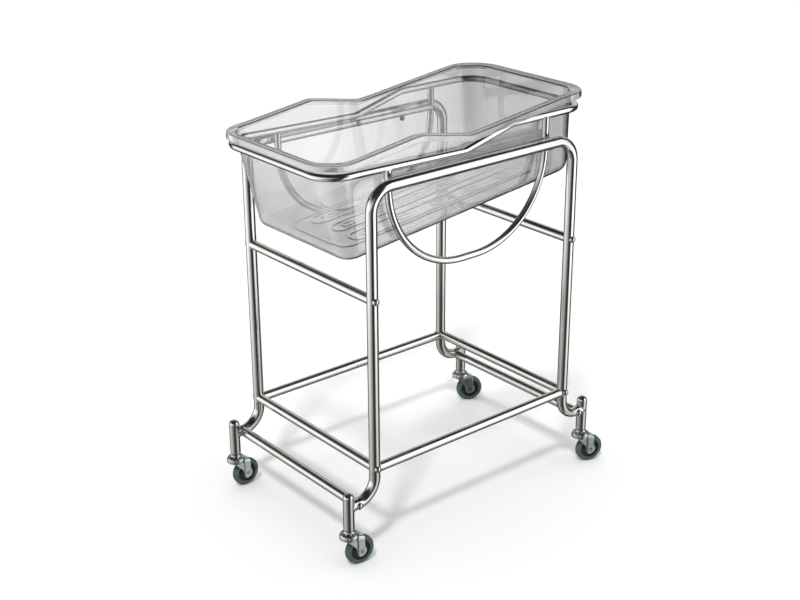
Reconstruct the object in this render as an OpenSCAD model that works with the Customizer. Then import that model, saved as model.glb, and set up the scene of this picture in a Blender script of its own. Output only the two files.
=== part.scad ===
// Hospital infant bassinet: a clear tub in a tilting cradle on a steel tube stand with casters.
// Millimetres, +Z up. Foot end towards -X, head end towards +X, right side towards -Y.

/* [Stand] */
// Distance between leg axes along the length
leg_span = 585; // [540:1:640]
// Distance between leg axes across the width
leg_gauge = 450; // [440:1:520]
// Outside radius of the side frame tube
frame_r = 12.5; // [11:0.5:14]
// Wall of the side frame tube
frame_wall = 1.5; // [1:0.1:2.5]
// Height of the top bar's axis
top_bar_z = 857.5; // [845:0.5:900]
// Bend radius of the side frame's top corners
top_bend_r = 50; // [40:1:80]
// Bend radius where a leg flares out to its caster post
flare_bend_r = 52; // [40:1:56]
// Height of the flare's axis at the caster post
flare_z = 148; // [140:1:160]
// Distance from a leg's axis out to its caster post's axis
post_reach = 74; // [72:1:90]

/* [Crossbars] */
// Outside radius of the crossbars and long bars
bar_r = 11; // [9:0.5:12]
// Wall of the crossbars and long bars
bar_wall = 1.2; // [1:0.1:2]
// Height of the lower crossbars
lower_bar_z = 220.5; // [215:0.5:260]
// Height of the long bars
long_bar_z = 218; // [215:0.5:260]
// Height of the middle crossbars
middle_bar_z = 616.5; // [560:0.5:620]
// Distance from a leg's axis out to the bottom crossbar's axis
bottom_bar_reach = 52; // [48:1:56]
// Length of the threaded plug in each crossbar end
plug_len = 18; // [12:1:24]

/* [Bolts] */
// Radius of the crossbar bolts' shanks
bolt_r = 4; // [3:0.5:5]
// Radius of the crossbar bolts' domed heads
bolt_head_r = 8; // [6:0.5:9]
// Height of the crossbar bolts' domed heads
bolt_head_h = 6; // [3:0.1:8]

/* [Posts] */
// Outside radius of the caster posts
post_r = 12.5; // [11:0.5:13]
// Wall of the caster posts
post_wall = 1.5; // [1:0.1:2]
// Height of the posts' open lower ends
post_bottom_z = 94; // [92:1:105]
// Height of the posts' domed tops
post_top_z = 183; // [178:1:200]
// Sphere radius of the domed tops
post_dome_r = 14; // [13.2:0.1:20]

/* [Cradle] */
// Outside radius of the cradle tube
cradle_r = 8; // [7:0.5:8.5]
// Wall of the cradle tube
cradle_wall = 1.2; // [0.8:0.1:2]
// Distance from a side arc's axis in to the rim ring's side axis
ring_inset = 6; // [5:0.5:8]
// Rim ring's foot end axis
ring_foot_x = -378; // [-382:1:-372]
// Rim ring's head end axis
ring_head_x = 366; // [362:1:368]
// Plan corner radius of the rim ring's axis
ring_corner_r = 62; // [58:1:64]
// Gap between the top bars' height and the ring's foot end
ring_clearance = 6.5; // [4:0.5:8]
// How far the ring's sides fall from the foot end to where they start to rise
ring_dip = 7; // [0:0.5:8]
// How far the ring's head end lies above its foot end
ring_rise = 29.5; // [26:0.5:34]
// Where the ring starts to rise
rise_start_x = -8; // [-20:1:0]
// Where the ring has risen
rise_end_x = 130; // [120:1:130]
// Length of the tangents that round each of the ring's kinks
rise_reach = 8; // [4:1:12]
// Foot end post of a side arc
arc_foot_x = -226; // [-240:1:-210]
// Head end post of a side arc
arc_head_x = 230; // [210:1:240]
// Lowest point of a side arc's axis
arc_bottom_z = 637; // [630:1:660]
// Bend radius of a side arc
arc_bend_r = 208; // [190:1:208]

/* [Pivot and lock] */
// Radius of the pivot bolts
pivot_r = 4; // [3:0.5:5]
// Radial clearance of the side bars on the pivot bolts
pivot_gap = 0.05; // [0.02:0.01:0.1]
// Radius of the pivot bolts' domed heads
pivot_head_r = 6.5; // [5:0.5:8]
// Height of the pivot bolts' domed heads
pivot_head_h = 4.2; // [3:0.1:5]
// Outside radius of the spacer washers
spacer_r = 8; // [6:0.5:9]
// Gap between a side bar and its side frame, which the spacer washer fills
spacer_t = 6.5; // [5:0.5:8]
// Distance from the pivot to the lock spindle
lock_x = 140; // [120:1:160]
// Radius of the lock spindle
spindle_r = 3; // [2:0.5:4]
// Reach of the lock lever
lever_len = 46; // [40:1:55]
// Width of the lock lever
lever_w = 9; // [8:0.5:12]
// Thickness of the lock lever
lever_t = 3; // [2:0.5:4]
// Radius of the lock knob
knob_r = 6; // [5:0.5:9]
// Height of the lock knob
knob_h = 10; // [8:0.5:14]

/* [Tub] */
// Thickness of the tub's walls, floor and rim
tub_wall = 3; // [2:0.1:3]
// Gap between the ring and the rim's lip at the sides
rim_side_gap = 1.5; // [1:0.5:4]
// Gap between the ring and the rim's lip at the foot end
rim_foot_gap = 2.5; // [1:0.5:6]
// Gap between the ring and the rim's lip at the head end
rim_head_gap = 10; // [2:0.5:12]
// Plan corner radius of the rim at the foot end
rim_foot_r = 76; // [70:1:78]
// Plan corner radius of the rim at the head end
rim_head_r = 84; // [76:1:86]
// Depth of the rim's turned-down lip
lip_depth = 15; // [10:0.5:18]
// Height of the rim above the ring's axis at the foot end
rim_foot_rise = 29.5; // [26:0.5:34]
// Where the side rim peaks
peak_x = -135; // [-150:1:-110]
// Height of the side rim's peak above the ring's axis at the foot end
peak_rise = 55; // [48:0.5:60]
// Where the side rim is lowest
valley_x = 10; // [0:1:20]
// Height of the side rim's low point above the ring's axis at the foot end
valley_rise = 29; // [28:0.5:34]
// Where the rim reaches the head end's height
rise_x = 300; // [280:1:305]
// Height of the rim above the ring's axis at the head end
rim_head_rise = 37.5; // [36:0.5:44]
// Distance from the ring's side axes in to the side walls under the rim
side_wall_inset = 7.5; // [7.5:0.5:11]
// Distance from the ring's foot end axis in to the foot wall under the rim
foot_wall_inset = 3; // [3:0.5:8]
// Distance from the ring's head end axis in to the head wall under the rim
head_wall_inset = 9.5; // [9:0.5:20]
// How far each side wall leans in from the rim to the floor
side_draft = 9; // [8:0.5:20]
// How far the foot wall leans in from the rim to the floor
foot_draft = 55; // [50:1:70]
// How far the head wall leans in from the rim to the floor
head_draft = 4.5; // [4:0.5:16]
// Corner radius of the walls under the rim
wall_top_corner_r = 60; // [56:1:64]
// Corner radius of the walls above the floor
wall_low_corner_r = 42; // [36:1:50]
// Radius between the walls and the floor
floor_round_r = 26; // [16:1:30]
// Height of the floor's underside at mid length
floor_z = 720; // [715:1:740]
// Rise of the floor towards the head end, in degrees
floor_slope = 6.6; // [4:0.1:7]
// Height of the floor's embossed ribs
emboss_h = 2; // [1:0.5:3]
// Width of the floor's embossed ribs
emboss_w = 6; // [4:0.5:9]
// Flat floor outside the border rib at the tub's ends
border_end_margin = 21.5; // [12:0.5:40]
// Flat floor outside the border rib at the tub's sides
border_side_margin = 44; // [30:1:60]
// Corner radius of the border rib
border_r = 35; // [20:1:45]
// Outside width of each long loop rib
loop_w = 49; // [40:1:56]
// Distance between the long loops' middles
loop_pitch = 70; // [58:1:72]
// Flat floor between the border rib and the long loops at the foot end
loop_foot_margin = 44; // [20:1:60]
// Flat floor between the border rib and the long loops at the head end
loop_head_margin = 27; // [20:1:60]

/* [Casters] */
// Wheel radius
wheel_r = 35; // [32:0.5:36]
// Wheel width
wheel_w = 18; // [14:0.5:20]
// Distance the wheel trails behind its swivel
trail = 25; // [20:0.5:28]
// Direction of each wheel at rest: foot right, foot left, head right, head left
caster_turn = [-8, 0, -20, -27]; // [-180:1:180]
// Radius inside the tyre
tyre_inner_r = 24; // [20:0.5:28]
// Radius of the wheel's hub boss
hub_r = 10; // [8:0.5:12]
// Radius of the axle
axle_r = 4; // [3:0.5:5]
// Radial clearance of the wheel on its axle
axle_gap = 0.05; // [0.02:0.01:0.1]
// Radius of the swivel dome
dome_r = 22; // [18:0.5:24]
// Thickness of the pressed fork
fork_t = 2.4; // [2:0.1:3]
// Width of a fork leg at the axle
fork_leg_w = 25; // [20:0.5:28]
// Radius of the caster stem
stem_r = 5.5; // [4.5:0.5:6.5]
// Radial clearance of the fork on the stem
stem_gap = 0.05; // [0.02:0.01:0.1]
// Length of the stem inside its post
stem_len = 45; // [30:1:60]
// Radius of the collar between a post and its caster
collar_r = 9; // [8:0.5:12]

/* [Hidden] */

$fn = 64;
steel = [0.78, 0.77, 0.74];
zinc = [0.72, 0.75, 0.76];
clear = [0.85, 0.86, 0.9, 0.4];
rubber = [0.33, 0.4, 0.38];
black = [0.1, 0.1, 0.11];

cut = 1;
contact_gap = 0.3;
leg_x = leg_span / 2;
leg_y = leg_gauge / 2;
arc_half_w = leg_y - frame_r - spacer_t - cradle_r;
ring_half_w = arc_half_w - ring_inset;
ring_low_z = top_bar_z + frame_r + ring_clearance + cradle_r;
ring_high_z = ring_low_z + ring_rise;
ring_kink_z = ring_low_z - ring_dip;
ring_fall = atan(ring_dip / (rise_start_x - ring_foot_x - ring_corner_r));
ring_post_z = round(10 * (ring_low_z - (arc_foot_x - ring_foot_x - ring_corner_r) * tan(ring_fall))) / 10;
rim_foot_z = ring_low_z + rim_foot_rise;
peak_z = ring_low_z + peak_rise;
valley_z = ring_low_z + valley_rise;
rim_head_z = ring_high_z + rim_head_rise;
rim_half_w = ring_half_w + cradle_r + rim_side_gap + tub_wall;
rim_foot_x = ring_foot_x - cradle_r - rim_foot_gap - tub_wall;
rim_head_x = ring_head_x + cradle_r + rim_head_gap + tub_wall;
wall_top_half_w = ring_half_w - side_wall_inset;
wall_top_foot_x = ring_foot_x + foot_wall_inset;
wall_top_head_x = ring_head_x - head_wall_inset;
wall_low_half_w = wall_top_half_w - side_draft;
wall_low_foot_x = wall_top_foot_x + foot_draft;
wall_low_head_x = wall_top_head_x - head_draft;
post_x = leg_x + post_reach;
bottom_bar_x = leg_x + bottom_bar_reach;
frame_in_r = frame_r - frame_wall;
bar_in_r = bar_r - bar_wall;
cradle_in_r = cradle_r - cradle_wall;
post_in_r = post_r - post_wall;

// The footprint's middle, which is the part's origin
footprint_x = (rim_foot_x + post_x + trail * cos(caster_turn[2]) + wheel_r * cos(caster_turn[2])
    - wheel_w / 2 * sin(caster_turn[2])) / 2;
module placed() translate([-footprint_x, 0, 0]) children();

// Bent tubes, drawn in the XY plane from their axis points and bend radii
function turn_at(a, b, c) = let (u = b - a, v = c - b) atan2(u[0] * v[1] - u[1] * v[0], u * v);
function setback(a, b, c, bend) = bend * tan(abs(turn_at(a, b, c)) / 2);
module straight(a, b, r)
    let (d = b - a)
    translate(a) rotate([0, 0, atan2(d[1], d[0])]) rotate([0, 90, 0]) cylinder(h = norm(d), r = r);
module elbow(a, b, c, bend, r)
    let (u = (b - a) / norm(b - a), t = turn_at(a, b, c), side = t > 0 ? 1 : -1,
        n = side * [-u[1], u[0]], centre = b - u * setback(a, b, c, bend) + n * bend,
        from = atan2(-n[1], -n[0]) - (t > 0 ? 0 : abs(t)))
    translate(centre) rotate([0, 0, from])
    rotate_extrude(angle = abs(t)) translate([bend, 0]) circle(r);
module bent_rod(points, bends, r, reach = 0) {
    last = len(points) - 1;
    for (i = [0 : last - 1]) {
        a = points[i];
        b = points[i + 1];
        u = (b - a) / norm(b - a);
        from = i == 0 ? a - u * reach : a + u * setback(points[i - 1], a, b, bends[i - 1]);
        to = i == last - 1 ? b + u * reach : b - u * setback(a, b, points[i + 2], bends[i]);
        straight(from, to, r);
    }
    for (i = [1 : last - 1]) elbow(points[i - 1], points[i], points[i + 1], bends[i - 1], r);
}
module upright(y) translate([0, y, 0]) rotate([90, 0, 0]) children();

// Side frame: one bent tube, an inverted U whose feet flare out to the caster posts
frame_path = [[-post_x, flare_z], [-leg_x, flare_z], [-leg_x, top_bar_z],
    [leg_x, top_bar_z], [leg_x, flare_z], [post_x, flare_z]];
frame_bends = [flare_bend_r, top_bend_r, top_bend_r, flare_bend_r];
module frame_rod(y, r, reach = 0) upright(y) bent_rod(frame_path, frame_bends, r, reach);
module bolt_bore(x, z, r) translate([x, 0, z]) rotate([90, 0, 0])
    cylinder(h = leg_gauge + 4 * frame_r, r = r, center = true);
module side_frame(side) {
    color(steel) difference() {
        frame_rod(side * leg_y, frame_r);
        frame_rod(side * leg_y, frame_in_r, cut);
        for (end = [-1, 1]) {
            translate([end * post_x, side * leg_y, 0]) cylinder(h = top_bar_z, r = post_r);
            bolt_bore(end * leg_x, middle_bar_z, bolt_r);
            bolt_bore(end * leg_x, lower_bar_z, bolt_r);
            bolt_bore(end * bottom_bar_x, flare_z, bolt_r);
        }
        translate([0, side * (leg_y - frame_r), top_bar_z]) rotate([90, 0, 0])
            cylinder(h = 2 * frame_r, r = pivot_r, center = true);
    }
}

// Caster post: a tube with a closed, domed top
dome_drop = post_dome_r - sqrt(pow(post_dome_r, 2) - pow(post_r, 2));
module post(end, side) {
    color(steel) translate([end * post_x, side * leg_y, 0]) difference() {
        union() {
            translate([0, 0, post_bottom_z])
                cylinder(h = post_top_z - dome_drop - post_bottom_z, r = post_r);
            intersection() {
                translate([0, 0, post_top_z - post_dome_r]) sphere(r = post_dome_r);
                translate([0, 0, post_top_z - dome_drop - cut]) cylinder(h = dome_drop + cut, r = post_r);
            }
        }
        translate([0, 0, post_bottom_z - cut])
            cylinder(h = post_top_z - dome_drop - post_wall - post_bottom_z + cut, r = post_in_r);
    }
}

// Crossbars: tubes coped onto the side frames and long bars, with a threaded plug in each end
module long_rod(side, r, reach = 0) translate([0, side * leg_y, long_bar_z]) rotate([0, 90, 0])
    cylinder(h = leg_span + reach, r = r, center = true);
module crossbar(x, z) {
    color(steel) difference() {
        translate([x, 0, z]) rotate([90, 0, 0]) cylinder(h = leg_gauge, r = bar_r, center = true);
        translate([x, 0, z]) rotate([90, 0, 0])
            cylinder(h = leg_gauge - 2 * (frame_r + plug_len), r = bar_in_r, center = true);
        bolt_bore(x, z, bolt_r);
        for (side = [-1, 1]) {
            frame_rod(side * leg_y, frame_r);
            if (abs(z - long_bar_z) < 2 * bar_r) long_rod(side, bar_r);
            for (end = [-1, 1]) translate([end * post_x, side * leg_y, post_bottom_z])
                cylinder(h = post_top_z - post_bottom_z, r = post_r);
        }
    }
}
module long_bar(side) {
    color(steel) difference() {
        long_rod(side, bar_r);
        long_rod(side, bar_in_r, cut);
        frame_rod(side * leg_y, frame_r);
    }
}

// Dome-head bolts, one through each tube into the crossbar's plug
module domed_head(r, h) {
    ball = (r * r + h * h) / (2 * h);
    intersection() {
        translate([0, 0, h - ball]) sphere(r = ball);
        cylinder(h = h, r = r);
    }
}
module bolt_pair(x, z) {
    for (side = [-1, 1]) translate([x, side * (leg_y + frame_r), z])
        rotate([side * -90, 0, 0]) {
            domed_head(bolt_head_r, bolt_head_h);
            translate([0, 0, -2 * frame_r - plug_len + cut])
                cylinder(h = 2 * frame_r + plug_len - cut, r = bolt_r);
        }
}
module bolts(x, z) color(zinc) for (end = [-1, 1]) bolt_pair(end * x, z);

// Cradle ring: one tube bent into a loop, low at the foot end and raised at the head end. Its sides
// fall a little before they rise.
// Its axis runs anticlockwise, and a ring of points stands square to it at each step.
ring_side = [[ring_foot_x + ring_corner_r, ring_low_z], [rise_start_x, ring_kink_z],
    [rise_end_x, ring_high_z], [ring_head_x - ring_corner_r, ring_high_z]];
ring_corner_steps = 10;
rise_steps = 3;
function bend_points(a, b, c) = let (p = b + (a - b) / norm(a - b) * rise_reach, q = b + (c - b) / norm(c - b) * rise_reach)
    [for (i = [0 : rise_steps]) let (t = i / rise_steps) p * pow(1 - t, 2) + b * 2 * t * (1 - t) + q * t * t];
rise_points = concat(bend_points(ring_side[0], ring_side[1], ring_side[2]),
    bend_points(ring_side[1], ring_side[2], ring_side[3]));
function ring_corner(end, side, from) = [for (i = [0 : ring_corner_steps]) let (a = from + 90 * i / ring_corner_steps)
    [(end > 0 ? ring_head_x - ring_corner_r : ring_foot_x + ring_corner_r) + ring_corner_r * cos(a),
        side * (ring_half_w - ring_corner_r) + ring_corner_r * sin(a), end > 0 ? ring_high_z : ring_low_z]];
ring_axis = concat(ring_corner(1, -1, 270), ring_corner(1, 1, 0),
    [for (i = [len(rise_points) - 1 : -1 : 0]) [rise_points[i][0], ring_half_w, rise_points[i][1]]],
    ring_corner(-1, 1, 90), ring_corner(-1, -1, 180), [for (q = rise_points) [q[0], -ring_half_w, q[1]]]);
function unit(v) = v / norm(v);
module ring_rod(r, sides) {
    n = len(ring_axis);
    points = [for (i = [0 : n - 1])
        let (c = ring_axis[i], t = unit(unit(c - ring_axis[(i + n - 1) % n]) + unit(ring_axis[(i + 1) % n] - c)),
            out = unit([t[1], -t[0], 0]), up = cross(out, t))
        for (k = [0 : sides - 1]) c + r * cos(360 * k / sides) * out + r * sin(360 * k / sides) * up];
    faces = [for (i = [0 : n - 1], k = [0 : sides - 1])
        let (a = i * sides, b = ((i + 1) % n) * sides, m = (k + 1) % sides)
        each [[a + k, a + m, b + k], [a + m, b + m, b + k]]];
    polyhedron(points = points, faces = faces);
}
ring_sides = 24;
bore_sides = 18;
vent_r = 1.5;
module rim_ring() {
    color(steel) difference() {
        ring_rod(cradle_r, ring_sides);
        ring_rod(cradle_in_r, bore_sides);
        translate([ring_foot_x, 0, ring_low_z - 2 * cradle_r]) cylinder(h = 2 * cradle_r, r = vent_r);
        translate([ring_head_x, 0, ring_high_z - 2 * cradle_r]) cylinder(h = 2 * cradle_r, r = vent_r);
    }
}
module ring_cope(side) for (end = [-1, 1])
    translate([end < 0 ? arc_foot_x : arc_head_x, side * ring_half_w, end < 0 ? ring_post_z : ring_high_z])
        rotate([0, end < 0 ? 90 + ring_fall : 90, 0]) cylinder(h = 4 * cradle_r, r = cradle_r, center = true);

// Side arcs: post, half round and post in one bent tube, welded under the ring
arc_path = [[arc_foot_x, ring_post_z], [arc_foot_x, arc_bottom_z],
    [arc_head_x, arc_bottom_z], [arc_head_x, ring_high_z]];
module arc_rod(side, r, reach = 0)
    upright(side * arc_half_w) bent_rod(arc_path, [arc_bend_r, arc_bend_r], r, reach);
module side_arc(side) {
    color(steel) difference() {
        arc_rod(side, cradle_r);
        arc_rod(side, cradle_in_r, cut);
        ring_cope(side);
    }
}

// Side bars: between an arc's posts, hung on the pivot bolt. Where the arc's bends reach up to the
// bars, the bars are shorter by as much as the bends come in there.
bend_dip = arc_bottom_z + arc_bend_r - top_bar_z;
bar_short = bend_dip > 0 ? arc_bend_r - sqrt(arc_bend_r * arc_bend_r - bend_dip * bend_dip) + contact_gap : 0;
module side_bar(side) {
    color(steel) difference() {
        translate([0, side * arc_half_w, top_bar_z]) rotate([0, 90, 0]) translate([0, 0, arc_foot_x + bar_short])
            cylinder(h = arc_head_x - arc_foot_x - 2 * bar_short, r = cradle_r);
        translate([0, side * arc_half_w, top_bar_z]) rotate([0, 90, 0]) translate([0, 0, arc_foot_x - cut])
            cylinder(h = arc_head_x - arc_foot_x + 2 * cut, r = cradle_in_r);
        arc_rod(side, cradle_r);
        translate([0, side * arc_half_w, top_bar_z]) rotate([90, 0, 0])
            cylinder(h = 4 * cradle_r, r = pivot_r + pivot_gap, center = true);
        if (side > 0) translate([lock_x, arc_half_w, top_bar_z])
            cylinder(h = 4 * cradle_r, r = spindle_r + pivot_gap, center = true);
    }
}

// Pivot bolts: head inside the side bar, thread in the side frame
head_gap = contact_gap;
bolt_tip_y = leg_y - frame_r + 4 * frame_wall;
module pivot_bolt(side) {
    color(zinc) translate([0, side * (arc_half_w - cradle_r - head_gap), top_bar_z])
        rotate([side * 90, 0, 0]) domed_head(pivot_head_r, pivot_head_h);
    color(zinc) translate([0, side * (arc_half_w - cradle_r - head_gap), top_bar_z])
        rotate([side * -90, 0, 0]) cylinder(h = bolt_tip_y - arc_half_w + cradle_r + head_gap, r = pivot_r);
}
module pivot_spacers() {
    color(black) for (side = [-1, 1]) difference() {
        translate([0, side * (arc_half_w + cradle_r + contact_gap), top_bar_z]) rotate([side * -90, 0, 0])
            cylinder(h = leg_y - arc_half_w - cradle_r - contact_gap, r = spacer_r);
        frame_rod(side * leg_y, frame_r);
        translate([0, side * leg_y, top_bar_z]) rotate([90, 0, 0])
            cylinder(h = leg_gauge, r = pivot_r, center = true);
    }
}

// Tilt lock: a spindle through the left side bar, with a lever above it and a knob below
module at_lock(z) translate([lock_x, arc_half_w, z]) children();
lever_z = top_bar_z + frame_r + contact_gap;
module lock_spindle() {
    color(zinc) at_lock(top_bar_z - cradle_r - contact_gap - knob_h / 2)
        cylinder(h = lever_z + lever_t - top_bar_z + cradle_r + contact_gap + knob_h / 2, r = spindle_r);
}
module lock_lever() {
    color(zinc) at_lock(lever_z) difference() {
        union() {
            cylinder(h = lever_t, r = lever_w / 2);
            translate([0, -lever_w / 2, 0]) cube([lever_len - lever_w / 2, lever_w, lever_t]);
            translate([lever_len - lever_w / 2, 0, 0]) cylinder(h = 2 * lever_t, r = lever_w / 2);
            translate([0, 0, -(lever_z - top_bar_z - cradle_r - contact_gap)])
                cylinder(h = lever_z - top_bar_z - cradle_r - contact_gap, r = 2 * spindle_r);
        }
        translate([0, 0, -frame_r]) cylinder(h = 2 * frame_r, r = spindle_r);
    }
}
module lock_knob() {
    color(black) at_lock(top_bar_z - cradle_r - contact_gap - knob_h) difference() {
        rotate_extrude() polygon([[0, 0], [knob_r - 1.5, 0], [knob_r, 1.5], [knob_r, knob_h - 1.5],
            [knob_r - 1.5, knob_h], [0, knob_h]]);
        translate([0, 0, knob_h / 2]) cylinder(h = knob_h, r = spindle_r);
    }
}

// Tub: a thin moulded shell, closed loop by closed loop from the inner floor over the rim to
// the outer floor. A loop is [foot x, head x, half width, foot corner r, head corner r].
corner_steps = 8;
side_steps = 24;
function mix(a, b, t) = a + (b - a) * t;
function rim_line(x) = lookup(x, [[rim_foot_x + rim_foot_r, rim_foot_z], [peak_x, peak_z],
    [valley_x, valley_z], [rise_x, rim_head_z]]);
rim_blend = 12;
function rim_z(x) = (rim_line(x - rim_blend) + 2 * rim_line(x) + rim_line(x + rim_blend)) / 4;
function floor_at(x) = floor_z + x * tan(floor_slope);
function corner_points(cx, cy, r, from) =
    [for (i = [0 : corner_steps]) let (a = from + 90 * i / corner_steps) [cx + r * cos(a), cy + r * sin(a)]];
function side_points(a, b) = [for (i = [1 : side_steps - 1]) mix(a, b, i / side_steps)];
function plan(e) = let (rf = e[3], rh = e[4],
    hl = corner_points(e[1] - rh, e[2] - rh, rh, 0), fl = corner_points(e[0] + rf, e[2] - rf, rf, 90),
    fr = corner_points(e[0] + rf, -e[2] + rf, rf, 180), hr = corner_points(e[1] - rh, -e[2] + rh, rh, 270))
    concat(hl, side_points(hl[corner_steps], fl[0]), fl, fr, side_points(fr[corner_steps], hr[0]), hr);
function grown(e, d) = [e[0] - d, e[1] + d, e[2] + d, e[3] + d, e[4] + d];
rim_out = [rim_foot_x, rim_head_x, rim_half_w, rim_foot_r, rim_head_r];
wall_top = [wall_top_foot_x, wall_top_head_x, wall_top_half_w, wall_top_corner_r, wall_top_corner_r];
wall_low = [wall_low_foot_x, wall_low_head_x, wall_low_half_w, wall_low_corner_r, wall_low_corner_r];
function rim_loop(e, drop) = [for (p = plan(e)) [p[0], p[1], rim_z(p[0]) - drop]];
function wall_loop(e0, e1, t, drop, rise) =
    [for (p = plan(mix(e0, e1, t))) [p[0], p[1], mix(rim_z(p[0]) - drop, floor_at(p[0]) + rise, t)]];
function floor_loop(e, r, a, rise) = [for (p = plan(grown(e, -r * (1 - cos(a)))))
    [p[0], p[1], floor_at(p[0]) + rise + r * (1 - sin(a))]];
round_steps = 5;
edge_r = tub_wall / 2;
inner_r = floor_round_r - tub_wall;
tub_loops = concat(
    [for (i = [round_steps : -1 : 0]) floor_loop(grown(wall_low, -tub_wall), inner_r, 90 * i / round_steps, tub_wall)],
    [for (t = [0.75, 0.5, 0.25]) wall_loop(grown(wall_top, -tub_wall), grown(wall_low, -tub_wall), t,
        tub_wall, tub_wall + inner_r)],
    [rim_loop(grown(wall_top, -tub_wall), tub_wall), rim_loop(grown(wall_top, -tub_wall * 0.6), edge_r * 0.4),
        rim_loop(wall_top, 0), rim_loop(grown(rim_out, -tub_wall), 0), rim_loop(grown(rim_out, -edge_r * 0.5), edge_r * 0.5),
        rim_loop(rim_out, tub_wall), rim_loop(rim_out, lip_depth),
        rim_loop(grown(rim_out, -tub_wall), lip_depth), rim_loop(grown(rim_out, -tub_wall), tub_wall),
        rim_loop(wall_top, tub_wall)],
    [for (t = [0.25, 0.5, 0.75]) wall_loop(wall_top, wall_low, t, tub_wall, floor_round_r)],
    [for (i = [0 : round_steps]) floor_loop(wall_low, floor_round_r, 90 * i / round_steps, 0)]);
module shell_of(loops) {
    n = len(loops[0]);
    m = len(loops);
    band = [for (k = [0 : m - 2], i = [0 : n - 1]) let (j = (i + 1) % n)
        each [[k * n + i, k * n + j, (k + 1) * n + i], [k * n + j, (k + 1) * n + j, (k + 1) * n + i]]];
    first = [for (i = [1 : n - 2]) [0, i + 1, i]];
    last = [for (i = [1 : n - 2]) let (b = (m - 1) * n) [b, b + i, b + i + 1]];
    polyhedron(points = [for (l = loops) each l], faces = concat(band, first, last));
}
// Ribs embossed on the floor: a rounded border and three long loops side by side inside it
module rib_outline(l, w, r, h) linear_extrude(h) difference() {
    rounded(l, w, r);
    rounded(l - 2 * emboss_w, w - 2 * emboss_w, r - emboss_w);
}
module rounded(l, w, r) {
    square([l - 2 * r, w], center = true);
    square([l, w - 2 * r], center = true);
    for (sx = [-1, 1], sy = [-1, 1]) translate([sx * (l / 2 - r), sy * (w / 2 - r)]) circle(r);
}
module floor_ribs() {
    border_l = wall_low_head_x - wall_low_foot_x - 2 * (floor_round_r + border_end_margin);
    border_w = 2 * (wall_low_half_w - floor_round_r - border_side_margin);
    loop_l = border_l - loop_foot_margin - loop_head_margin;
    sink = 0.5;
    translate([(wall_low_head_x + wall_low_foot_x) / 2, 0, floor_at((wall_low_head_x + wall_low_foot_x) / 2) + tub_wall - sink])
        rotate([0, -floor_slope, 0]) {
            rib_outline(border_l, border_w, border_r, emboss_h + sink);
            for (k = [-1 : 1]) translate([(loop_foot_margin - loop_head_margin) / 2, k * loop_pitch, 0])
                rib_outline(loop_l, loop_w, loop_w / 2 - 0.5, emboss_h + sink);
        }
}
module tub() {
    color(clear) union() {
        shell_of(tub_loops);
        floor_ribs();
    }
}

// Casters. Each is drawn about its swivel axis with the wheel trailing towards +X.
ends = [-1, -1, 1, 1];
sides = [-1, 1, -1, 1];
module at_caster(i) translate([ends[i] * post_x, sides[i] * leg_y, 0]) rotate([0, 0, caster_turn[i]]) children();
module at_axle(i) at_caster(i) translate([trail, 0, wheel_r]) rotate([90, 0, 0]) children();
socket_flange = 2.5;
swivel_top_z = post_bottom_z - socket_flange;
crown_z = wheel_r * 2 + 6;
skirt_z = wheel_r * 2 + 2;
nut_h = 3;
stem_bottom_z = crown_z - contact_gap - nut_h;
stem_top_z = post_bottom_z + stem_len;
side_play = 1.2;
fork_in = wheel_w / 2 + side_play;
module socket(i) {
    color(black) at_caster(i) difference() {
        union() {
            translate([0, 0, post_bottom_z]) cylinder(h = stem_len + 4, r = post_in_r);
            translate([0, 0, swivel_top_z]) cylinder(h = socket_flange, r = collar_r);
        }
        translate([0, 0, swivel_top_z - cut]) cylinder(h = socket_flange + stem_len + cut, r = stem_r);
    }
}
race_r = dome_r - 2 * fork_t;
module stem(i) {
    color(zinc) at_caster(i) {
        translate([0, 0, stem_bottom_z]) cylinder(h = stem_top_z - stem_bottom_z, r = stem_r);
        translate([0, 0, stem_bottom_z]) cylinder(h = nut_h, r = stem_r + 3);
        translate([0, 0, crown_z + fork_t + contact_gap]) cylinder(h = 5, r = race_r - 3);
    }
}
// Fork: a domed swivel housing, a crown plate and two legs to the axle
module dome_shape(r, top) rotate_extrude() polygon([[0, skirt_z], [r, skirt_z], [r, crown_z + fork_t],
    [r * 0.95, crown_z + fork_t + (top - crown_z) * 0.25], [r * 0.8, mix(crown_z, top, 0.65)],
    [r * 0.6, mix(crown_z, top, 0.9)], [r * 0.5, top], [0, top]]);
leg_r = fork_leg_w / 2;
module leg_outline() {
    translate([trail, wheel_r]) circle(leg_r);
    polygon([[trail - leg_r, wheel_r], [trail + leg_r, wheel_r], [trail + leg_r, crown_z + fork_t],
        [-dome_r * 0.7, crown_z + fork_t], [-dome_r * 0.7, crown_z - 4]]);
}
module fork_legs() for (s = [-1, 1])
    translate([0, s * (fork_in + fork_t / 2) + fork_t / 2, 0]) rotate([90, 0, 0]) linear_extrude(fork_t) leg_outline();
module fork(i) {
    color(zinc) at_caster(i) difference() {
        union() {
            difference() {
                dome_shape(dome_r, swivel_top_z - contact_gap);
                translate([0, 0, crown_z + fork_t]) cylinder(h = 5 + 2 * contact_gap, r = race_r);
                translate([0, 0, skirt_z - cut]) cylinder(h = crown_z - skirt_z + cut, r = dome_r - fork_t);
            }
            translate([0, -fork_in - fork_t, crown_z])
                cube([trail + leg_r, 2 * (fork_in + fork_t), fork_t]);
            fork_legs();
        }
        cylinder(h = 2 * post_bottom_z, r = stem_r + stem_gap);
        translate([trail, 0, wheel_r]) rotate([90, 0, 0])
            cylinder(h = 4 * wheel_w, r = axle_r, center = true);
    }
}
axle_head_h = 3.5;
axle_head_r = 6.5;
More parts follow.
